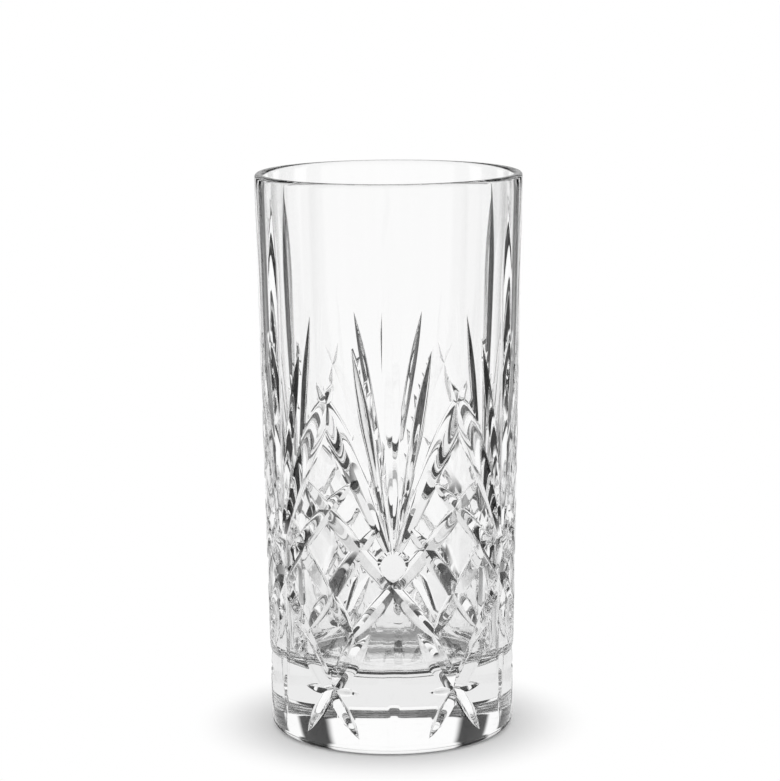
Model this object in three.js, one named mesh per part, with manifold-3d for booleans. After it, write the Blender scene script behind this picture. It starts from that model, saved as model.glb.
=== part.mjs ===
// Tall tumbler of clear pressed glass, one piece, with a traditional pattern of mitre cuts.
// Millimetres, +Z up, origin at the centre of the foot on the table. A fan faces -Y.
import * as THREE from "three";
import { mergeVertices } from "three/addons/utils/BufferGeometryUtils.js";
import Module from "manifold-3d";

// Body of the glass.
const HEIGHT = 150;
const RIM_DIAMETER = 70.8;
const BASE_DIAMETER = 65.1;
const RIM_WALL = 2.3;
const FOOT_WALL = 5;
const FLOOR_HEIGHT = 19.5;
const FLOOR_FILLET = 5.5;
const HEEL_RADIUS = 2.6;
const FOOT_RING = 4;
const RECESS_DEPTH = 0.9;
const RECESS_FLAT = 16;

// Repeats of the pattern round the wall. Angles are in degrees round the wall.
const REPEATS = 6;

// Fan: one tall leaf, a pair of middle leaves and a pair of broad outer leaves from one root.
const FAN_ROOT = 51.5;
const RIM_BAND = 7;
const TALL_WIDTH = 5.8;
const TALL_DEPTH = 0.9;
const MIDDLE_ANGLE = 17;
const MIDDLE_TIP = 107.3;
const MIDDLE_WIDTH = 3.2;
const MIDDLE_DEPTH = 1.3;
const OUTER_LAP = 4;
const OUTER_TIP = 99;
const OUTER_WIDTH = 6.8;
const OUTER_DEPTH = 1.7;

// Round flat pit at the root of the fan.
const PIT_HEIGHT = 50.8;
const PIT_WIDTH = 6.8;
const PIT_DEPTH = 1.3;
const PIT_BEVEL = 1.2;

// Lattice of crossing grooves: heights of the crossings, and how far round each groove runs on past them.
const LATTICE_TOP = 65.2;
const LATTICE_SIDE = 55.1;
const LATTICE_FOOT = 42.5;
const LATTICE_WIDTH = 4.6;
const LATTICE_DEPTH = 1.5;
const LONG_RUN_UP = 12.5;
const LONG_RUN_DOWN = 21;
const SHORT_RUN_UP = 8;
const SHORT_RUN_DOWN = 12;

// Star below the lattice: how far round each ray reaches from its centre, and the height of its tip.
const STAR_HEIGHT = 17;
const BROAD_RAY_ANGLE = 19.5;
const BROAD_RAY_TIP = 33;
const BROAD_RAY_WIDTH = 5.8;
const BROAD_RAY_DEPTH = 1.7;
const SLIM_RAY_ANGLE = 14;
const SLIM_RAY_TIP = 35.5;
const SLIM_RAY_WIDTH = 2.6;
const SLIM_RAY_DEPTH = 1.2;
const SIDE_RAY_ANGLE = 14;
const SIDE_RAY_WIDTH = 2.6;
const SIDE_RAY_DEPTH = 0.8;
const FOOT_RAY_ANGLE = 14;
const FOOT_RAY_TIP = 4.4;
const FOOT_RAY_WIDTH = 3.8;
const FOOT_RAY_DEPTH = 1.6;

// Shallow flute between two stars.
const FLUTE_FOOT = 4.5;
const FLUTE_WIDTH = 5.6;
const FLUTE_DEPTH = 0.6;

// How each kind of cut swells along its length: the share of its full width and depth that it has
// at its start and at its end, how far along it is fullest, and how sharply it rises and fades.
const TALL_SWELL = { start: 0.2, peak: 0.75, end: 0, rise: 1.5, fade: 2 };
const MIDDLE_SWELL = { start: 0.2, peak: 0.65, end: 0, rise: 1.5, fade: 2 };
const OUTER_SWELL = { start: 0.12, peak: 0.7, end: 0, rise: 1.5, fade: 2 };
const LATTICE_SWELL = { start: 0.1, peak: 0.5, end: 0.1, rise: 5, fade: 5 };
const RAY_SWELL = { start: 0.9, peak: 0.4, end: 0, rise: 1.5, fade: 2 };
const FLUTE_SWELL = { start: 0, peak: 0.5, end: 0.6, rise: 1.5, fade: 2 };

// Fineness of the facets, and how far a cutter stands out of the wall.
const FACETS = 72;
const ARC_FACETS = 2;
const CUT_STEP = 8;
const CUT_FACETS_LEAST = 4;
const PIT_FACETS = 8;
const WELD = 1e-5;
const CLEAR = 0.4;

const wasm = await Module();
wasm.setup();

const radians = THREE.MathUtils.degToRad;
const lerp = THREE.MathUtils.lerp;
const rimCentre = HEIGHT - RIM_WALL / 2;
const halfSector = 180 / REPEATS;

function wallRadius(z) {
  return lerp(BASE_DIAMETER / 2, RIM_DIAMETER / 2, z / rimCentre);
}

function cavityRadius(z) {
  const share = (z - FLOOR_HEIGHT) / (rimCentre - FLOOR_HEIGHT);
  return wallRadius(z) - lerp(FOOT_WALL, RIM_WALL, share);
}

// Point on the outer wall at an angle in degrees, raised or sunk along the radius.
function onWall(angle, z, lift) {
  const r = wallRadius(z) + lift;
  const a = radians(angle);
  return new THREE.Vector3(r * Math.sin(a), -r * Math.cos(a), z);
}

function toSolid(geometry) {
  const bare = geometry.clone();
  bare.deleteAttribute("normal");
  bare.deleteAttribute("uv");
  const merged = mergeVertices(bare, WELD);
  return new wasm.Manifold(new wasm.Mesh({
    numProp: 3,
    vertProperties: new Float32Array(merged.attributes.position.array),
    triVerts: new Uint32Array(merged.index.array),
  }));
}

function toGeometry(solid) {
  const mesh = solid.getMesh();
  const geometry = new THREE.BufferGeometry();
  geometry.setAttribute("position", new THREE.BufferAttribute(new Float32Array(mesh.vertProperties), 3));
  geometry.setIndex(new THREE.BufferAttribute(new Uint32Array(mesh.triVerts), 1));
  geometry.computeVertexNormals();
  return geometry;
}

// Turned body: recessed foot, rounded heel, straight wall, fire-polished rim, cavity with a filleted floor.
function bodyGeometry() {
  const heelCentre = wallRadius(HEEL_RADIUS) - HEEL_RADIUS;
  const rimRadius = (wallRadius(rimCentre) - cavityRadius(rimCentre)) / 2;
  const rimMiddle = wallRadius(rimCentre) - rimRadius;
  const filletTop = FLOOR_HEIGHT + FLOOR_FILLET;
  const filletCentre = cavityRadius(filletTop) - FLOOR_FILLET;
  const ringInner = heelCentre - FOOT_RING;
  const profile = new THREE.Path();
  profile.moveTo(0, RECESS_DEPTH);
  profile.quadraticCurveTo(RECESS_FLAT, RECESS_DEPTH, ringInner, 0);
  profile.lineTo(heelCentre, 0);
  profile.absarc(heelCentre, HEEL_RADIUS, HEEL_RADIUS, -Math.PI / 2, 0, false);
  profile.lineTo(wallRadius(rimCentre), rimCentre);
  profile.absarc(rimMiddle, rimCentre, rimRadius, 0, Math.PI, false);
  profile.lineTo(cavityRadius(filletTop), filletTop);
  profile.absarc(filletCentre, filletTop, FLOOR_FILLET, 0, -Math.PI / 2, true);
  profile.lineTo(0, FLOOR_HEIGHT);
  return new THREE.LatheGeometry(profile.getPoints(ARC_FACETS), FACETS).rotateX(Math.PI / 2);
}

// Share of the full width and depth at a place s along a cut, from 0 at its start to 1 at its end.
function shareAt(s, swell) {
  if (s < swell.peak) {
    return 1 - (1 - swell.start) * (1 - s / swell.peak) ** swell.rise;
  }
  return 1 - (1 - swell.end) * ((s - swell.peak) / (1 - swell.peak)) ** swell.fade;
}

// Cutter with a V-shaped underside and a crown clear of the round wall, along a straight line on the
// unrolled wall from one [angle, height] to another.
function mitre(from, to, width, depth, swell) {
  const radius = wallRadius((from[1] + to[1]) / 2);
  const perDegree = radians(radius);
  const run = new THREE.Vector2((to[0] - from[0]) * perDegree, to[1] - from[1]);
  const steps = Math.max(CUT_FACETS_LEAST, Math.round(run.length() / CUT_STEP));
  const across = new THREE.Vector2(-run.y, run.x).normalize();
  const corners = 4;
  const positions = [];
  const index = [];
  for (let i = 0; i <= steps; i += 1) {
    const s = i / steps;
    const sunk = depth * shareAt(s, swell);
    const reach = (width / 2) * (sunk + CLEAR) / depth;
    const crown = CLEAR + reach * reach / radius;
    for (const [aside, lift] of [[0, -sunk], [reach, CLEAR], [0, crown], [-reach, CLEAR]]) {
      const angle = lerp(from[0], to[0], s) + aside * across.x / perDegree;
      const z = lerp(from[1], to[1], s) + aside * across.y;
      positions.push(...onWall(angle, z, lift).toArray());
    }
  }
  for (let i = 0; i < steps; i += 1) {
    for (let k = 0; k < corners; k += 1) {
      const a = corners * i + k;
      const b = corners * i + (k + 1) % corners;
      index.push(a, b, b + corners, a, b + corners, a + corners);
    }
  }
  const end = corners * steps;
  index.push(0, 2, 1, 0, 3, 2, end, end + 1, end + 2, end, end + 2, end + 3);
  const geometry = new THREE.BufferGeometry();
  geometry.setAttribute("position", new THREE.Float32BufferAttribute(positions, 3));
  geometry.setIndex(index);
  return geometry;
}

// Many-sided flat-bottomed cutter for the pit.
function pit(angle) {
  const sides = PIT_FACETS;
  const slope = PIT_BEVEL / PIT_DEPTH;
  const perDegree = radians(wallRadius(PIT_HEIGHT));
  const rings = [
    [PIT_WIDTH / 2, -PIT_DEPTH],
    [PIT_WIDTH / 2 + (PIT_DEPTH + CLEAR) * slope, CLEAR],
  ];
  const positions = [];
  for (const [radius, lift] of rings) {
    for (let i = 0; i < sides; i += 1) {
      const turn = (i + 0.5) * 2 * Math.PI / sides;
      const aside = angle + radius * Math.cos(turn) / perDegree;
      positions.push(...onWall(aside, PIT_HEIGHT + radius * Math.sin(turn), lift).toArray());
    }
  }
  positions.push(...onWall(angle, PIT_HEIGHT, -PIT_DEPTH).toArray());
  positions.push(...onWall(angle, PIT_HEIGHT, CLEAR).toArray());
  const index = [];
  for (let i = 0; i < sides; i += 1) {
    const j = (i + 1) % sides;
    index.push(i, j, sides + j, i, sides + j, sides + i);
    index.push(j, i, 2 * sides, sides + i, sides + j, 2 * sides + 1);
  }
  const geometry = new THREE.BufferGeometry();
  geometry.setAttribute("position", new THREE.Float32BufferAttribute(positions, 3));
  geometry.setIndex(index);
  return geometry;
}

// Every cutter of one repeat: the fan at the given angle, and half of the lattice and star on each side.
function cutters(angle) {
  const longSlope = (LATTICE_TOP - LATTICE_SIDE) / (halfSector / 2);
  const shortSlope = (LATTICE_SIDE - LATTICE_FOOT) / (halfSector / 2);
  const root = [angle, FAN_ROOT];
  const rimward = [angle, HEIGHT - RIM_BAND];
  const all = [
    pit(angle),
    mitre(root, rimward, TALL_WIDTH, TALL_DEPTH, TALL_SWELL),
    mitre([angle, FLUTE_FOOT], [angle, PIT_HEIGHT], FLUTE_WIDTH, FLUTE_DEPTH, FLUTE_SWELL),
  ];
  for (const side of [-1, 1]) {
    const long = (offset) => [angle + side * offset, LATTICE_TOP + (offset - halfSector) * longSlope];
    const short = (offset) => [angle + side * offset, LATTICE_FOOT + (halfSector - offset) * shortSlope];
    const ray = (offset, z) => [angle + side * (halfSector - offset), z];
    const star = ray(0, STAR_HEIGHT);
    const middleTip = [angle + side * MIDDLE_ANGLE, MIDDLE_TIP];
    const outerTip = ray(-OUTER_LAP, OUTER_TIP);
    const longFoot = long(-LONG_RUN_DOWN);
    const longTop = long(halfSector + LONG_RUN_UP);
    const shortTop = short(halfSector / 2 - SHORT_RUN_UP);
    const shortFoot = short(halfSector + SHORT_RUN_DOWN);
    const broadTip = ray(BROAD_RAY_ANGLE, BROAD_RAY_TIP);
    const slimTip = ray(SLIM_RAY_ANGLE, SLIM_RAY_TIP);
    const sideTip = ray(SIDE_RAY_ANGLE, STAR_HEIGHT);
    const footTip = ray(FOOT_RAY_ANGLE, FOOT_RAY_TIP);
    all.push(
      mitre(root, middleTip, MIDDLE_WIDTH, MIDDLE_DEPTH, MIDDLE_SWELL),
      mitre(root, outerTip, OUTER_WIDTH, OUTER_DEPTH, OUTER_SWELL),
      mitre(longFoot, longTop, LATTICE_WIDTH, LATTICE_DEPTH, LATTICE_SWELL),
      mitre(shortTop, shortFoot, LATTICE_WIDTH, LATTICE_DEPTH, LATTICE_SWELL),
      mitre(star, broadTip, BROAD_RAY_WIDTH, BROAD_RAY_DEPTH, RAY_SWELL),
      mitre(star, slimTip, SLIM_RAY_WIDTH, SLIM_RAY_DEPTH, RAY_SWELL),
      mitre(star, sideTip, SIDE_RAY_WIDTH, SIDE_RAY_DEPTH, RAY_SWELL),
      mitre(star, footTip, FOOT_RAY_WIDTH, FOOT_RAY_DEPTH, RAY_SWELL),
    );
  }
  return all;
}

function tumblerGeometry() {
  let solid = toSolid(bodyGeometry());
  for (let i = 0; i < REPEATS; i += 1) {
    for (const cutter of cutters(i * 360 / REPEATS)) {
      solid = solid.subtract(toSolid(cutter));
    }
  }
  return toGeometry(solid);
}

const glass = new THREE.MeshStandardMaterial({ color: 0xeef3f3, roughness: 0.04, metalness: 0 });
const tumbler = new THREE.Mesh(tumblerGeometry(), glass);
tumbler.name = "tumbler";

const group = new THREE.Group();
group.name = "tall_tumbler";
group.add(tumbler);

export default group;
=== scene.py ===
"""Tall tumbler of clear glass, turned in one piece and cut with fans, a diamond lattice and stars."""

import math

import bpy
from mathutils import Matrix, Vector


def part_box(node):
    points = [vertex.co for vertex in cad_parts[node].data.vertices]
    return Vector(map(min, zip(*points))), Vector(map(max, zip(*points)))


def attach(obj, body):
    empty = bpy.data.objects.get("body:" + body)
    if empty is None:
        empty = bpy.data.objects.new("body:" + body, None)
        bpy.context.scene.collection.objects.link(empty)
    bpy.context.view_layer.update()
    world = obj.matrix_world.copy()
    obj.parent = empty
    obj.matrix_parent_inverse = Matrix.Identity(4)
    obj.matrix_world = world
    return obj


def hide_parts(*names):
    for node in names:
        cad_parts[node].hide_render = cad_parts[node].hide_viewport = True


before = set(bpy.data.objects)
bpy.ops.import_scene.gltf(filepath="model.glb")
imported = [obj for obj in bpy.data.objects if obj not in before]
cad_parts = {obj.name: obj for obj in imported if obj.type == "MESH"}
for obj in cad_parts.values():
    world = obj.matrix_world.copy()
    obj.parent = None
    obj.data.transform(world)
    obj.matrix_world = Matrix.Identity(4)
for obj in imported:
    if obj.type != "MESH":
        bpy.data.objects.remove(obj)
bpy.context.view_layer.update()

CAD_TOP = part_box("tumbler")[1]
PHOTO_LONG_SIDE = 781
SENSOR = 36.0

bl_info = {
    "name": "Cut Glass Tumbler",
    "version": (1, 0, 0),
    "blender": (4, 5, 0),
    "location": "View3D > Sidebar > Tumbler",
    "description": "Makes a tall tumbler with a traditional pattern of mitre cuts, and its stage",
    "category": "Add Mesh",
}


# Dark flags of the tent: degrees from straight behind the glass where each starts and ends, and how dark it is.
TENT_FLAGS = ((25, 38, 1.0), (56, 78, 1.0), (98, 112, 0.8), (116, 190, 0.25))
TENT_SOFT = 4
TENT_TOP_SOFT = 8

# Distances from the glass's axis, in metres, between which the floor changes: where the painted shadow of the glass
# fades out, where the painted shade of the flags comes onto the floor and where it closes in, the ring of painted
# contact shadow under the foot and its softness, and where the floor turns white.
PAINTED_SHADOW_FADES_OUT = (0.04, 0.30)
PAINTED_FLAG_SHADE_COMES_IN = (0.05, 0.2)
FLAGS_CLOSE_IN = (0.25, 0.6)
PAINTED_CONTACT_SHADOW_RING = (0.0235, 0.0335)
CONTACT_SOFT = 0.001
FLOOR_TURNS_WHITE = (0.033, 0.055)

FLOOR_SIDES = 96
FLOOR_DROP = 0.00002
SECTION_POINTS = 20
SHOULDER_BOW = 0.25
ON_WALL = 0.00001
WALL_INPUTS = ("Base Radius", "Taper", "Clear")
MITRE_INPUTS = (
    "From Angle", "From Height", "To Angle", "To Height", "Width", "Depth",
    "Start", "Peak", "End", "Rise", "Fade", "Shoulder",
)

# How a cut swells: its share at the start, where along it the peak lies, its share at the end, and the powers of
# its rise and its fade.
TALL_SWELL = (0.2, 0.75, 0.02, 1.5, 2)
MIDDLE_SWELL = (0.2, 0.65, 0.02, 1.5, 2)
OUTER_SWELL = (0.12, 0.7, 0.02, 1.5, 2)
FLUTE_SWELL = (0.02, 0.5, 0.6, 1.5, 2)
LATTICE_SWELL = (0.1, 0.5, 0.1, 5, 5)
RAY_SWELL = (0.9, 0.4, 0.02, 1.5, 2)


def length(name, description, millimetres):
    return bpy.props.FloatProperty(
        name=name, description=description, default=millimetres / 1000, min=0, precision=4, unit="LENGTH"
    )


def angle(name, description, degrees):
    return bpy.props.FloatProperty(
        name=name, description=description, default=math.radians(degrees), subtype="ANGLE"
    )


def factor(name, description, default):
    return bpy.props.FloatProperty(
        name=name, description=description, default=default, min=0, max=1, subtype="FACTOR"
    )


def count(name, description, default):
    return bpy.props.IntProperty(name=name, description=description, default=default, min=1)


class TumblerSize(bpy.types.PropertyGroup):
    """Sizes of the turned glass before it is cut."""

    height: length("Height", "Height over the rim", CAD_TOP.z * 1000)
    rim_diameter: length("Rim", "Diameter of the wall at the rim", CAD_TOP.x * 2000)
    base_diameter: length("Base", "Diameter of the wall where it would meet the table", 65.1)
    rim_wall: length("Rim wall", "Thickness of the wall at the rim", 2.3)
    foot_wall: length("Foot wall", "Thickness of the wall at the floor of the cavity", 5.0)
    floor_height: length("Floor", "Height of the floor of the cavity", 19.5)
    floor_fillet: length("Floor fillet", "Radius between the floor and the wall of the cavity", 5.5)
    heel_radius: length("Heel", "Radius of the outer edge of the foot", 2.6)
    foot_ring: length("Foot ring", "Width of the flat ring that the glass stands on", 4.0)
    recess_depth: length("Recess", "Depth of the hollow under the foot", 0.9)
    recess_flat: length("Recess flat", "Radius where the hollow starts to curve down to the ring", 16.0)
    segments: count("Segments", "Facets round the turned glass", 240)


class TumblerCuts(bpy.types.PropertyGroup):
    """Places and sizes of the cuts."""

    repeats: count("Repeats", "Fans round the wall", 6)
    steps: count("Steps", "Facets along each cut", 24)
    shoulder: factor("Shoulder", "Slope of a cut at its edge, against the mean slope of its flank", 0.3)
    clear: length("Clear", "How far a cutter stands out of the wall", 0.25)

    fan_root: length("Fan root", "Height where the leaves of a fan meet", 51.5)
    rim_band: length("Rim band", "Height of the plain band below the rim", 7.0)
    tall_width: length("Tall leaf width", "Width of the middle leaf of a fan", 5.8)
    tall_depth: length("Tall leaf depth", "Depth of the middle leaf of a fan", 0.9)
    middle_angle: angle("Middle leaf angle", "How far round a middle leaf reaches", 17.0)
    middle_tip: length("Middle leaf tip", "Height of a middle leaf's tip", 107.3)
    middle_width: length("Middle leaf width", "Width of a middle leaf", 3.2)
    middle_depth: length("Middle leaf depth", "Depth of a middle leaf", 1.3)
    outer_lap: angle("Outer leaf lap", "How far an outer leaf reaches into the next repeat", 4.0)
    outer_tip: length("Outer leaf tip", "Height of an outer leaf's tip", 99.0)
    outer_width: length("Outer leaf width", "Width of an outer leaf", 6.8)
    outer_depth: length("Outer leaf depth", "Depth of an outer leaf", 1.4)

    pit_height: length("Pit height", "Height of the round pit at the fan's root", 50.8)
    pit_width: length("Pit width", "Width of the pit's flat bottom", 6.8)
    pit_depth: length("Pit depth", "Depth of the pit", 1.3)
    pit_bevel: length("Pit bevel", "Width of the pit's sloping side", 1.2)

    lattice_top: length("Lattice top", "Height of the top crossing", 65.2)
    lattice_side: length("Lattice side", "Height of the side crossings", 55.1)
    lattice_foot: length("Lattice foot", "Height of the bottom crossing", 42.5)
    lattice_width: length("Lattice width", "Width of a lattice groove", 4.6)
    lattice_depth: length("Lattice depth", "Depth of a lattice groove", 1.5)
    long_run_up: angle("Long run up", "How far a long groove runs past the top crossing", 12.5)
    long_run_down: angle("Long run down", "How far a long groove runs past the fan's axis", 21.0)
    short_run_up: angle("Short run up", "How far a short groove runs past the side crossing", 8.0)
    short_run_down: angle("Short run down", "How far a short groove runs past the bottom crossing", 12.0)

    star_height: length("Star height", "Height of the centre of a star", 17.0)
    broad_ray_angle: angle("Broad ray angle", "How far round a broad ray reaches", 19.5)
    broad_ray_tip: length("Broad ray tip", "Height of a broad ray's tip", 33.0)
    broad_ray_width: length("Broad ray width", "Width of a broad ray", 5.8)
    broad_ray_depth: length("Broad ray depth", "Depth of a broad ray", 1.7)
    slim_ray_angle: angle("Slim ray angle", "How far round a slim ray reaches", 14.0)
    slim_ray_tip: length("Slim ray tip", "Height of a slim ray's tip", 35.5)
    slim_ray_width: length("Slim ray width", "Width of a slim ray", 2.6)
    slim_ray_depth: length("Slim ray depth", "Depth of a slim ray", 1.2)
    side_ray_angle: angle("Side ray angle", "How far round a side ray reaches", 14.0)
    side_ray_width: length("Side ray width", "Width of a side ray", 2.6)
    side_ray_depth: length("Side ray depth", "Depth of a side ray", 0.8)
    foot_ray_angle: angle("Foot ray angle", "How far round a foot ray reaches", 14.0)
    foot_ray_tip: length("Foot ray tip", "Height of a foot ray's tip", 4.4)
    foot_ray_width: length("Foot ray width", "Width of a foot ray", 3.8)
    foot_ray_depth: length("Foot ray depth", "Depth of a foot ray", 1.6)

    flute_foot: length("Flute foot", "Height of the foot of a flute", 4.5)
    flute_width: length("Flute width", "Width of a flute", 5.6)
    flute_depth: length("Flute depth", "Depth of a flute", 0.6)


class TumblerGlass(bpy.types.PropertyGroup):
    """Looks of the glass."""

    tint: bpy.props.FloatVectorProperty(
        name="Tint", description="Colour of the glass", subtype="COLOR", size=3,
        default=(1.0, 1.0, 1.0), min=0, max=1,
    )
    ior: bpy.props.FloatProperty(
        name="Index of refraction", description="How strongly the glass bends light", default=1.52, min=1, max=2
    )
    ripple: length("Ripple", "Height of the slow waves left by the fire polish", 0.02)
    smooth_angle: angle("Smooth angle", "Steepest edge that is shaded smooth", 24.0)


class TumblerStage(bpy.types.PropertyGroup):
    """Floor, light and camera."""

    floor_colour: bpy.props.FloatVectorProperty(
        name="Floor", description="Colour of the floor", subtype="COLOR", size=3,
        default=(0.96, 0.96, 0.96), min=0, max=1,
    )
    floor_radius: length("Floor radius", "Radius of the floor", 6000.0)
    tent_top: bpy.props.FloatProperty(
        name="Tent top", description="Elevation in degrees where the light tent ends", default=38.0, min=0, max=90
    )
    tent_dark: factor("Tent dark", "Brightness of the ceiling over the tent", 0.06)
    # Brightness of the painted shadow of the glass on the floor, where the glass shows the floor.
    painted_shadow_level: factor("Floor shade", "Brightness of the floor close to the glass, as seen through it", 0.84)
    mirror_dim: factor("Mirror dim", "How far the tent is dimmed where the glass mirrors it", 0.6)
    # How dark the painted contact shadow under the foot ring is.
    painted_contact_shadow: factor("Contact shade", "How far the floor darkens where the foot ring stands on it", 0.95)
    # Widens the painted shade of the flags on the floor close to the glass.
    flag_spread: bpy.props.FloatProperty(
        name="Flag spread", description="How many degrees wider the flags stand close to the glass", default=6.0, min=0
    )
    camera_distance: length("Camera distance", "Distance of the camera from the glass's axis", 709.1)
    camera_height: length("Camera height", "Height of the camera above the floor", 217.2)
    camera_side: angle("Camera side", "How far round the glass the camera stands", -0.85)
    camera_pitch: angle("Camera pitch", "How far the camera looks down", 10.06)
    camera_roll: angle("Camera roll", "How far the camera leans to its right", 0.404)
    camera_focus: bpy.props.FloatProperty(
        name="Camera focal length", description="Focal length in pixels of the photograph", default=2695.4, min=1
    )


class Sketch:
    """A geometry node tree, written as sums of its sockets."""

    def __init__(self, name):
        self.tree = bpy.data.node_groups.new(name, "GeometryNodeTree")
        self.entry = None

    def takes(self, name, kind):
        self.tree.interface.new_socket(name, in_out="INPUT", socket_type=kind)

    def gives(self, name, kind):
        self.tree.interface.new_socket(name, in_out="OUTPUT", socket_type=kind)

    def __getitem__(self, name):
        if self.entry is None:
            self.entry = self.tree.nodes.new("NodeGroupInput")
        return self.entry.outputs[name]

    def feed(self, socket, value):
        if isinstance(value, bpy.types.NodeSocket):
            self.tree.links.new(value, socket)
        else:
            socket.default_value = value

    def add(self, kind, feeds=None, **settings):
        node = self.tree.nodes.new(kind)
        for name, value in settings.items():
            setattr(node, name, value)
        for name, value in (feeds or {}).items():
            self.feed(node.inputs[name], value)
        return node

    def sum(self, operation, *values):
        node = self.add("ShaderNodeMath", operation=operation)
        for socket, value in zip(node.inputs, values):
            self.feed(socket, value)
        return node.outputs[0]

    def times(self, a, b):
        return self.sum("MULTIPLY", a, b)

    def plus(self, a, b):
        return self.sum("ADD", a, b)

    def minus(self, a, b):
        return self.sum("SUBTRACT", a, b)

    def over(self, a, b):
        return self.sum("DIVIDE", a, b)

    def power(self, a, b):
        return self.sum("POWER", a, b)

    def between(self, a, b, share):
        return self.plus(a, self.times(self.minus(b, a), share))

    def unit(self, a):
        """The value held between 0 and 1."""
        return self.sum("MINIMUM", self.sum("MAXIMUM", a, 0.0), 1.0)

    def call(self, tree, feeds):
        node = self.add("GeometryNodeGroup", node_tree=tree)
        for name, value in feeds.items():
            self.feed(node.inputs[name], value)
        return node.outputs[0]

    def on_wall(self, turn, z, lift):
        """The place at an angle and a height, lifted off the wall."""
        radius = self.plus(self.plus(self["Base Radius"], self.times(self["Taper"], z)), lift)
        x = self.times(radius, self.sum("SINE", turn))
        y = self.times(self.times(radius, self.sum("COSINE", turn)), -1.0)
        return self.add("ShaderNodeCombineXYZ", {"X": x, "Y": y, "Z": z}).outputs[0]

    def result(self, value):
        self.tree.links.new(value, self.add("NodeGroupOutput").inputs[0])
        return self.tree


def mitre_cutter_tree():
    """One mitre cutter on the wall: a tube whose lower half is a valley with rounded shoulders."""
    t = Sketch("Mitre Cutter")
    for name in MITRE_INPUTS + WALL_INPUTS:
        t.takes(name, "NodeSocketFloat")
    t.takes("Steps", "NodeSocketInt")
    t.gives("Cutter", "NodeSocketGeometry")
    tube = t.add(
        "GeometryNodeMeshCylinder",
        {"Vertices": SECTION_POINTS, "Side Segments": t["Steps"], "Radius": 1.0, "Depth": 1.0},
        fill_type="NGON",
    )
    place = t.add("ShaderNodeSeparateXYZ", {"Vector": t.add("GeometryNodeInputPosition").outputs[0]})
    s = t.plus(place.outputs["Z"], 0.5)

    rise = t.power(t.unit(t.minus(1.0, t.over(s, t["Peak"]))), t["Rise"])
    fade = t.power(t.unit(t.over(t.minus(s, t["Peak"]), t.minus(1.0, t["Peak"]))), t["Fade"])
    rise = t.minus(1.0, t.times(t.minus(1.0, t["Start"]), rise))
    fade = t.minus(1.0, t.times(t.minus(1.0, t["End"]), fade))
    share = t.times(rise, fade)

    flank = SECTION_POINTS // 2 - 2
    turn = t.over(t.sum("ARCTAN2", place.outputs["Y"], place.outputs["X"]), 2 * math.pi)
    turn = t.sum("FRACT", t.plus(turn, 1.25))
    side = t.sum("SIGN", t.minus(0.5, turn))
    up = t.minus(1.0, t.sum("ABSOLUTE", t.minus(t.times(turn, 2.0), 1.0)))
    rung = t.sum("ROUND", t.times(up, SECTION_POINTS / 2))
    out = t.unit(t.over(rung, flank))
    past = t.unit(t.minus(rung, flank))
    crown = t.unit(t.minus(rung, flank + 1))

    half = t.times(t.times(t["Width"], 0.5), share)
    sunk = t.times(t["Depth"], share)
    left = t.minus(1.0, out)
    bow = t.sum("SQRT", t.plus(t.times(left, left), SHOULDER_BOW * SHOULDER_BOW))
    bow = t.over(t.minus(bow, SHOULDER_BOW), math.hypot(1, SHOULDER_BOW) - SHOULDER_BOW)
    fall = t.between(bow, left, t["Shoulder"])
    reach = t.over(t.times(t["Clear"], t["Width"]), t.times(t.times(t["Depth"], t["Shoulder"]), 2.0))
    middle = t.times(t.plus(t["From Height"], t["To Height"]), 0.5)
    radius = t.plus(t["Base Radius"], t.times(t["Taper"], middle))
    edge = t.plus(half, reach)
    aside = t.plus(t.times(half, out), t.times(past, reach))
    aside = t.times(t.times(aside, t.minus(1.0, crown)), side)
    lift = t.minus(t.times(past, t["Clear"]), t.times(sunk, fall))
    lift = t.plus(lift, t.times(crown, t.over(t.times(edge, edge), radius)))

    run_round = t.times(t.minus(t["To Angle"], t["From Angle"]), radius)
    run_up = t.minus(t["To Height"], t["From Height"])
    run = t.sum("SQRT", t.plus(t.times(run_round, run_round), t.times(run_up, run_up)))
    aside_round = t.over(t.times(t.times(aside, run_up), -1.0), t.times(run, radius))
    aside_up = t.over(t.times(aside, run_round), run)
    wall_turn = t.plus(t.between(t["From Angle"], t["To Angle"], s), aside_round)
    wall_z = t.plus(t.between(t["From Height"], t["To Height"], s), aside_up)
    moved = t.add(
        "GeometryNodeSetPosition",
        {"Geometry": tube.outputs["Mesh"], "Position": t.on_wall(wall_turn, wall_z, lift)},
    )
    return t.result(moved.outputs[0])


def pit_cutter_tree():
    """A round cutter with a flat bottom and a sloping side, bent to the wall."""
    t = Sketch("Pit Cutter")
    for name in ("Height", "Width", "Depth", "Bevel") + WALL_INPUTS:
        t.takes(name, "NodeSocketFloat")
    t.gives("Cutter", "NodeSocketGeometry")
    grow = t.over(t.times(t["Bevel"], t.plus(t["Depth"], t["Clear"])), t["Depth"])
    bottom = t.times(t["Width"], 0.5)
    cone = t.add(
        "GeometryNodeMeshCone",
        {
            "Vertices": 64, "Side Segments": 4, "Fill Segments": 4,
            "Radius Top": t.plus(bottom, grow), "Radius Bottom": bottom,
            "Depth": t.plus(t["Depth"], t["Clear"]),
        },
        fill_type="TRIANGLE_FAN",
    )
    place = t.add("ShaderNodeSeparateXYZ", {"Vector": t.add("GeometryNodeInputPosition").outputs[0]})
    radius = t.plus(t["Base Radius"], t.times(t["Taper"], t["Height"]))
    turn = t.over(place.outputs["X"], radius)
    z = t.plus(place.outputs["Y"], t["Height"])
    lift = t.minus(place.outputs["Z"], t["Depth"])
    moved = t.add(
        "GeometryNodeSetPosition",
        {"Geometry": cone.outputs["Mesh"], "Position": t.on_wall(turn, z, lift)},
    )
    return t.result(moved.outputs[0])


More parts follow.
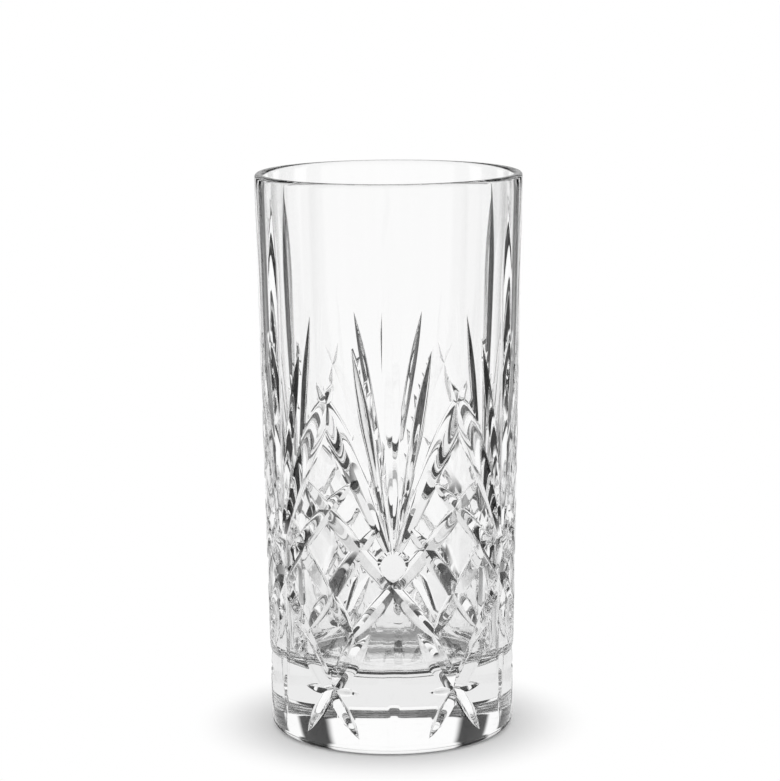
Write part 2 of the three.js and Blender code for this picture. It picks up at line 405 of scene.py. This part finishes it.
def cut_round_wall(t, cutters):
    """Ends a tree: the cutters, repeated round the axis, are taken off the glass."""
    spokes = t.add("GeometryNodeMeshLine", {"Count": t["Repeats"], "Offset": (0, 0, 0)}, mode="OFFSET")
    turn = t.times(t.add("GeometryNodeInputIndex").outputs[0], t.over(2 * math.pi, t["Repeats"]))
    spin = t.add("ShaderNodeCombineXYZ", {"Z": turn}).outputs[0]
    boolean = t.add("GeometryNodeMeshBoolean", {"Mesh 1": t["Glass"]}, operation="DIFFERENCE", solver="MANIFOLD")
    for cutter in cutters:
        ring = t.add(
            "GeometryNodeInstanceOnPoints",
            {"Points": spokes.outputs[0], "Instance": cutter, "Rotation": spin},
        )
        t.tree.links.new(ring.outputs[0], boolean.inputs["Mesh 2"])
    solid = t.add("GeometryNodeRealizeInstances", {"Geometry": boolean.outputs["Mesh"]})
    coated = t.add("GeometryNodeSetMaterial", {"Geometry": solid.outputs[0], "Material": t["Material"]})
    return t.result(coated.outputs[0])


def ring_sketch(name, sizes):
    t = Sketch(name)
    t.takes("Glass", "NodeSocketGeometry")
    for size in sizes + WALL_INPUTS:
        t.takes(size, "NodeSocketFloat")
    t.takes("Repeats", "NodeSocketInt")
    t.takes("Material", "NodeSocketMaterial")
    t.gives("Glass", "NodeSocketGeometry")
    return t


def mitre_ring_tree(name, cutter, mirrored):
    """Mitre cuts round the wall, each with its mirror image if mirrored."""
    t = ring_sketch(name, MITRE_INPUTS)
    t.takes("Steps", "NodeSocketInt")
    feeds = {size: t[size] for size in MITRE_INPUTS + WALL_INPUTS + ("Steps",)}
    cutters = [t.call(cutter, feeds)]
    if mirrored:
        for end in ("From Angle", "To Angle"):
            feeds[end] = t.times(t[end], -1.0)
        cutters.append(t.call(cutter, feeds))
    return cut_round_wall(t, cutters)


def pit_ring_tree(cutter):
    """Pits round the wall."""
    sizes = ("Height", "Width", "Depth", "Bevel")
    t = ring_sketch("Pit Ring", sizes)
    return cut_round_wall(t, [t.call(cutter, {size: t[size] for size in sizes + WALL_INPUTS})])


def add_cut(glass, tree, inputs):
    modifier = glass.modifiers.new(tree.name, "NODES")
    modifier.node_group = tree
    for item in tree.interface.items_tree:
        if item.item_type == "SOCKET" and item.in_out == "INPUT" and item.name in inputs:
            modifier[item.identifier] = inputs[item.name]


def arc(centre, radius, start, end, steps):
    """Points on a circle in the profile's plane, from one angle to another in degrees."""
    turns = [math.radians(start + (end - start) * i / steps) for i in range(steps + 1)]
    return [(centre[0] + radius * math.cos(a), centre[1] + radius * math.sin(a)) for a in turns]


def line(start, end, steps):
    return [
        (start[0] + (end[0] - start[0]) * i / steps, start[1] + (end[1] - start[1]) * i / steps)
        for i in range(steps + 1)
    ]


def turned_profile(size):
    """Outline of the glass from the middle of its underside, over the rim, to the middle of its floor."""
    rim_centre = size.height - size.rim_wall / 2
    taper = (size.rim_diameter - size.base_diameter) / 2 / rim_centre

    def wall(z):
        return size.base_diameter / 2 + taper * z

    def cavity(z):
        share = (z - size.floor_height) / (rim_centre - size.floor_height)
        return wall(z) - size.foot_wall - (size.rim_wall - size.foot_wall) * share

    heel = wall(size.heel_radius) - size.heel_radius
    rim_radius = (wall(rim_centre) - cavity(rim_centre)) / 2
    rim_middle = wall(rim_centre) - rim_radius
    fillet_top = size.floor_height + size.floor_fillet
    fillet_middle = cavity(fillet_top) - size.floor_fillet
    ring = heel - size.foot_ring
    points = []
    for i in range(17):
        s = i / 16
        points.append((2 * s * (1 - s) * size.recess_flat + s * s * ring, size.recess_depth * (1 - s * s)))
    points += line((ring, 0), (heel, 0), 4)
    points += arc((heel, size.heel_radius), size.heel_radius, -90, 0, 16)
    points += line((wall(size.heel_radius), size.heel_radius), (wall(rim_centre), rim_centre), 48)
    points += arc((rim_middle, rim_centre), rim_radius, 0, 180, 24)
    points += line((cavity(rim_centre), rim_centre), (cavity(fillet_top), fillet_top), 24)
    points += arc((fillet_middle, fillet_top), size.floor_fillet, 0, -90, 20)
    points += line((fillet_middle, size.floor_height), (0, size.floor_height), 8)
    kept = [points[0]]
    for point in points[1:]:
        if math.dist(point, kept[-1]) > 1e-7:
            kept.append(point)
    return kept


def turned_mesh(name, profile, segments):
    """A closed solid of revolution about Z."""
    rings = profile[1:-1]
    vertices = [(0, 0, profile[0][1]), (0, 0, profile[-1][1])]
    for radius, z in rings:
        for i in range(segments):
            turn = 2 * math.pi * i / segments
            vertices.append((radius * math.sin(turn), -radius * math.cos(turn), z))
    faces = []
    last = 2 + (len(rings) - 1) * segments
    for i in range(segments):
        j = (i + 1) % segments
        faces.append((0, 2 + j, 2 + i))
        faces.append((1, last + i, last + j))
        for k in range(len(rings) - 1):
            low = 2 + k * segments
            faces.append((low + i, low + j, low + segments + j, low + segments + i))
    mesh = bpy.data.meshes.new(name)
    mesh.from_pydata(vertices, [], faces)
    return mesh


def crease_cut_edges(mesh, base_radius, taper):
    """Keeps the edge between the round wall and a cut sharp, however flat the cut starts."""
    on_wall = []
    for polygon in mesh.polygons:
        centre = polygon.center
        off = abs(math.hypot(centre.x, centre.y) - base_radius - taper * centre.z)
        on_wall.append(off < ON_WALL)
    sides = {}
    for polygon in mesh.polygons:
        for key in polygon.edge_keys:
            sides.setdefault(key, []).append(on_wall[polygon.index])
    for edge in mesh.edges:
        if len(set(sides[edge.key])) == 2:
            edge.use_edge_sharp = True


def glass_material(look):
    """Clear fire-polished glass: slow waves and a faint unevenness of the polish."""
    material = bpy.data.materials.new("clear glass")
    material.use_nodes = True
    nodes = material.node_tree.nodes
    links = material.node_tree.links
    shader = nodes["Principled BSDF"]
    shader.inputs["Base Color"].default_value = (*look.tint, 1)
    shader.inputs["IOR"].default_value = look.ior
    shader.inputs["Transmission Weight"].default_value = 1
    coords = nodes.new("ShaderNodeTexCoord")
    polish = nodes.new("ShaderNodeTexNoise")
    polish.inputs["Scale"].default_value = 60
    polish.inputs["Detail"].default_value = 3
    links.new(coords.outputs["Object"], polish.inputs["Vector"])
    rough = nodes.new("ShaderNodeMapRange")
    rough.inputs["From Min"].default_value = 0.45
    rough.inputs["From Max"].default_value = 0.8
    rough.inputs["To Min"].default_value = 0.0
    rough.inputs["To Max"].default_value = 0.004
    links.new(polish.outputs["Fac"], rough.inputs["Value"])
    links.new(rough.outputs["Result"], shader.inputs["Roughness"])
    waves = nodes.new("ShaderNodeTexNoise")
    waves.inputs["Scale"].default_value = 45
    waves.inputs["Detail"].default_value = 1
    links.new(coords.outputs["Object"], waves.inputs["Vector"])
    bump = nodes.new("ShaderNodeBump")
    bump.inputs["Strength"].default_value = 1
    bump.inputs["Distance"].default_value = look.ripple
    links.new(waves.outputs["Fac"], bump.inputs["Height"])
    links.new(bump.outputs["Normal"], shader.inputs["Normal"])
    return material


class Shading(Sketch):
    """A shader tree, written as sums of its sockets."""

    def __init__(self, tree):
        self.tree = tree
        self.entry = None

    def fade(self, value, start, end):
        """0 below the start and 1 above the end."""
        node = self.add("ShaderNodeMapRange", {"Value": value, "From Min": start, "From Max": end})
        node.interpolation_type = "SMOOTHSTEP"
        return node.outputs["Result"]

    def band(self, value, start, end, soft):
        """1 between the start and the end, fading over the soft width outside."""
        low = self.fade(value, start - soft, start)
        return self.minus(low, self.fade(value, end, end + soft))


def tent_sides(t, direction, spread=0.0):
    """Light of the tent round the glass: dark flags at both sides, with slits, and white elsewhere."""
    place = t.add("ShaderNodeSeparateXYZ", {"Vector": direction}).outputs
    turn = t.times(t.sum("ABSOLUTE", t.sum("ARCTAN2", place["X"], place["Y"])), 180 / math.pi)
    turn = t.minus(turn, spread)
    light = 1.0
    for start, end, dark in TENT_FLAGS:
        light = t.minus(light, t.times(t.band(turn, start, end, TENT_SOFT), dark))
    return light


def seen_in_glass(t):
    """1 for what the glass refracts or mirrors, and 0 for what the camera and the lit surfaces see."""
    path = t.add("ShaderNodeLightPath").outputs
    clear = t.unit(t.plus(path["Is Glossy Ray"], path["Is Transmission Ray"]))
    return t.times(clear, t.minus(1.0, path["Is Camera Ray"]))


def floor_material(stage):
    """Pale floor that keeps the glass's shadow and runs out into white. Where the glass shows it, the floor glows
    instead, with a painted shadow of the glass, painted shade of the flags at its sides and a painted contact shadow
    under the foot ring.
    """
    material = bpy.data.materials.new("pale floor")
    material.use_nodes = True
    t = Shading(material.node_tree)
    t.tree.nodes.clear()
    place = t.add("ShaderNodeTexCoord").outputs["Object"]
    away = t.add("ShaderNodeVectorMath", {"Vector": place}, operation="LENGTH").outputs["Value"]
    camera = t.add("ShaderNodeLightPath").outputs["Is Camera Ray"]
    clear = seen_in_glass(t)
    # Seen through the glass, the floor glows with a painted shadow of the glass: darkest close to it, fading out
    # further off.
    lit = t.between(stage.painted_shadow_level, 1.0, t.fade(away, *PAINTED_SHADOW_FADES_OUT))
    # Painted shade of the dark flags on the floor at both sides, seen through the glass.
    spread = t.times(t.minus(1.0, t.fade(away, *FLAGS_CLOSE_IN)), stage.flag_spread)
    painted_shade_glow = t.times(lit, t.between(1.0, tent_sides(t, place, spread), t.fade(away, *PAINTED_FLAG_SHADE_COMES_IN)))
    # Painted contact shadow in a ring under the foot, seen through the glass.
    painted_shade_glow = t.times(painted_shade_glow, t.minus(1.0, t.times(t.band(away, *PAINTED_CONTACT_SHADOW_RING, CONTACT_SOFT), stage.painted_contact_shadow)))
    white = t.times(camera, t.fade(away, *FLOOR_TURNS_WHITE))
    strength = t.between(1.0, painted_shade_glow, clear)
    cloth = t.add("ShaderNodeBsdfDiffuse", {"Color": (*stage.floor_colour, 1)}).outputs[0]
    plain = t.add("ShaderNodeEmission", {"Strength": strength}).outputs[0]
    mix = t.add("ShaderNodeMixShader", {"Fac": t.unit(t.plus(white, clear))})
    t.feed(mix.inputs[1], cloth)
    t.feed(mix.inputs[2], plain)
    t.tree.links.new(mix.outputs[0], t.add("ShaderNodeOutputMaterial").inputs["Surface"])
    return material


def pattern_cuts(size, cuts):
    """Every kind of mitre cut: its name, its two ends, its size, how it swells and whether it is mirrored."""
    half = math.pi / cuts.repeats
    long_slope = (cuts.lattice_top - cuts.lattice_side) / (half / 2)
    short_slope = (cuts.lattice_side - cuts.lattice_foot) / (half / 2)

    def long(turn):
        return turn, cuts.lattice_top + (turn - half) * long_slope

    def short(turn):
        return turn, cuts.lattice_foot + (half - turn) * short_slope

    root = (0, cuts.fan_root)
    star = (half, cuts.star_height)
    lattice = (cuts.lattice_width, cuts.lattice_depth)
    return [
        ("Tall leaves", root, (0, size.height - cuts.rim_band),
         (cuts.tall_width, cuts.tall_depth), TALL_SWELL, False),
        ("Flutes", (0, cuts.flute_foot), (0, cuts.pit_height),
         (cuts.flute_width, cuts.flute_depth), FLUTE_SWELL, False),
        ("Middle leaves", root, (cuts.middle_angle, cuts.middle_tip),
         (cuts.middle_width, cuts.middle_depth), MIDDLE_SWELL, True),
        ("Outer leaves", root, (half + cuts.outer_lap, cuts.outer_tip),
         (cuts.outer_width, cuts.outer_depth), OUTER_SWELL, True),
        ("Long grooves", long(-cuts.long_run_down), long(half + cuts.long_run_up), lattice, LATTICE_SWELL, True),
        ("Short grooves", short(half / 2 - cuts.short_run_up), short(half + cuts.short_run_down),
         lattice, LATTICE_SWELL, True),
        ("Broad rays", star, (half - cuts.broad_ray_angle, cuts.broad_ray_tip),
         (cuts.broad_ray_width, cuts.broad_ray_depth), RAY_SWELL, True),
        ("Slim rays", star, (half - cuts.slim_ray_angle, cuts.slim_ray_tip),
         (cuts.slim_ray_width, cuts.slim_ray_depth), RAY_SWELL, True),
        ("Side rays", star, (half - cuts.side_ray_angle, cuts.star_height),
         (cuts.side_ray_width, cuts.side_ray_depth), RAY_SWELL, True),
        ("Foot rays", star, (half - cuts.foot_ray_angle, cuts.foot_ray_tip),
         (cuts.foot_ray_width, cuts.foot_ray_depth), RAY_SWELL, True),
    ]


class TUMBLER_OT_make_glass(bpy.types.Operator):
    """Turn the glass, cut its pattern and give it its finish"""

    bl_idname = "tumbler.make_glass"
    bl_label = "Make Tumbler"

    def execute(self, context):
        scene = context.scene
        size, cuts, look = scene.tumbler_size, scene.tumbler_cuts, scene.tumbler_glass
        material = glass_material(look)
        glass = bpy.data.objects.new(
            "tumbler_glass", turned_mesh("turned glass", turned_profile(size), size.segments)
        )
        scene.collection.objects.link(glass)
        rim_centre = size.height - size.rim_wall / 2
        shared = {
            "Base Radius": size.base_diameter / 2,
            "Taper": (size.rim_diameter - size.base_diameter) / 2 / rim_centre,
            "Clear": cuts.clear,
            "Repeats": cuts.repeats,
            "Material": material,
        }
        cutter = mitre_cutter_tree()
        for name, start, end, (width, depth), swell, mirrored in pattern_cuts(size, cuts):
            add_cut(glass, mitre_ring_tree(name, cutter, mirrored), {
                **shared,
                "From Angle": start[0], "From Height": start[1], "To Angle": end[0], "To Height": end[1],
                "Width": width, "Depth": depth, "Start": swell[0], "Peak": swell[1], "End": swell[2],
                "Rise": swell[3], "Fade": swell[4], "Shoulder": cuts.shoulder, "Steps": cuts.steps,
            })
        add_cut(glass, pit_ring_tree(pit_cutter_tree()), {
            **shared,
            "Height": cuts.pit_height, "Width": cuts.pit_width, "Depth": cuts.pit_depth, "Bevel": cuts.pit_bevel,
        })
        evaluated = glass.evaluated_get(context.evaluated_depsgraph_get())
        mesh = bpy.data.meshes.new_from_object(evaluated)
        glass.modifiers.clear()
        glass.data = mesh
        mesh.shade_smooth()
        mesh.set_sharp_from_angle(angle=look.smooth_angle)
        crease_cut_edges(mesh, shared["Base Radius"], shared["Taper"])
        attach(glass, "root")
        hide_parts("tumbler")
        return {"FINISHED"}


class TUMBLER_OT_set_stage(bpy.types.Operator):
    """Lay the floor, light the tent and place the camera"""

    bl_idname = "tumbler.set_stage"
    bl_label = "Set Stage"

    def execute(self, context):
        scene = context.scene
        stage = scene.tumbler_stage
        self.lay_floor(scene, stage)
        self.light_tent(scene, stage)
        self.place_camera(scene, stage)
        scene.view_settings.view_transform = "Standard"
        scene.cycles.max_bounces = 32
        scene.cycles.transmission_bounces = 32
        scene.cycles.glossy_bounces = 16
        return {"FINISHED"}

    def lay_floor(self, scene, stage):
        mesh = bpy.data.meshes.new("floor")
        turns = [2 * math.pi * i / FLOOR_SIDES for i in range(FLOOR_SIDES)]
        rim = [(stage.floor_radius * math.cos(a), stage.floor_radius * math.sin(a), 0) for a in turns]
        mesh.from_pydata(rim, [], [tuple(range(FLOOR_SIDES))])
        floor = bpy.data.objects.new("floor", mesh)
        scene.collection.objects.link(floor)
        floor.data.materials.append(floor_material(stage))
        floor.location.z = -FLOOR_DROP

    def light_tent(self, scene, stage):
        world = bpy.data.worlds.new("light tent")
        world.use_nodes = True
        scene.world = world
        t = Shading(world.node_tree)
        direction = t.add("ShaderNodeTexCoord").outputs["Generated"]
        up = t.add("ShaderNodeSeparateXYZ", {"Vector": direction}).outputs["Z"]
        elevation = t.times(t.sum("ARCSINE", up), 180 / math.pi)
        rise = t.fade(elevation, stage.tent_top - TENT_TOP_SOFT, stage.tent_top + TENT_TOP_SOFT)
        tent = t.between(tent_sides(t, direction), stage.tent_dark, rise)
        background = world.node_tree.nodes["Background"]
        background.inputs["Color"].default_value = (1, 1, 1, 1)
        path = t.add("ShaderNodeLightPath").outputs
        mirrored = t.times(path["Is Glossy Ray"], t.minus(1.0, path["Is Transmission Ray"]))
        tent = t.times(tent, t.minus(1.0, t.times(mirrored, stage.mirror_dim)))
        t.feed(background.inputs["Strength"], t.between(1.0, tent, seen_in_glass(t)))

    def place_camera(self, scene, stage):
        data = bpy.data.cameras.new("camera")
        data.sensor_width = SENSOR
        data.lens = stage.camera_focus * SENSOR / PHOTO_LONG_SIDE
        camera = bpy.data.objects.new("camera", data)
        scene.collection.objects.link(camera)
        aim = Matrix.Rotation(stage.camera_side, 4, "Z")
        place = aim @ Vector((0, -stage.camera_distance, stage.camera_height))
        look = Matrix.Rotation(math.radians(90) - stage.camera_pitch, 4, "X")
        lean = Matrix.Rotation(-stage.camera_roll, 4, "Z")
        camera.matrix_world = Matrix.Translation(place) @ aim @ look @ lean
        scene.camera = camera


class TUMBLER_PT_sidebar(bpy.types.Panel):
    """Lists the glass and its stage"""

    bl_label = "Cut Glass Tumbler"
    bl_space_type = "VIEW_3D"
    bl_region_type = "UI"
    bl_category = "Tumbler"

    def draw(self, context):
        layout = self.layout
        for operator in (TUMBLER_OT_make_glass, TUMBLER_OT_set_stage):
            layout.operator(operator.bl_idname)
        for name in SETTINGS:
            group = getattr(context.scene, name)
            box = layout.box()
            for prop in group.bl_rna.properties:
                if prop.identifier not in ("rna_type", "name"):
                    box.prop(group, prop.identifier)


SETTINGS = {
    "tumbler_size": TumblerSize,
    "tumbler_cuts": TumblerCuts,
    "tumbler_glass": TumblerGlass,
    "tumbler_stage": TumblerStage,
}
CLASSES = (*SETTINGS.values(), TUMBLER_OT_make_glass, TUMBLER_OT_set_stage, TUMBLER_PT_sidebar)


def register():
    for cls in CLASSES:
        bpy.utils.register_class(cls)
    for name, group in SETTINGS.items():
        setattr(bpy.types.Scene, name, bpy.props.PointerProperty(type=group))


def unregister():
    for name in SETTINGS:
        delattr(bpy.types.Scene, name)
    for cls in reversed(CLASSES):
        bpy.utils.unregister_class(cls)


def main():
    register()
    bpy.ops.tumbler.make_glass()
    bpy.ops.tumbler.set_stage()


if __name__ == "__main__":
    main()
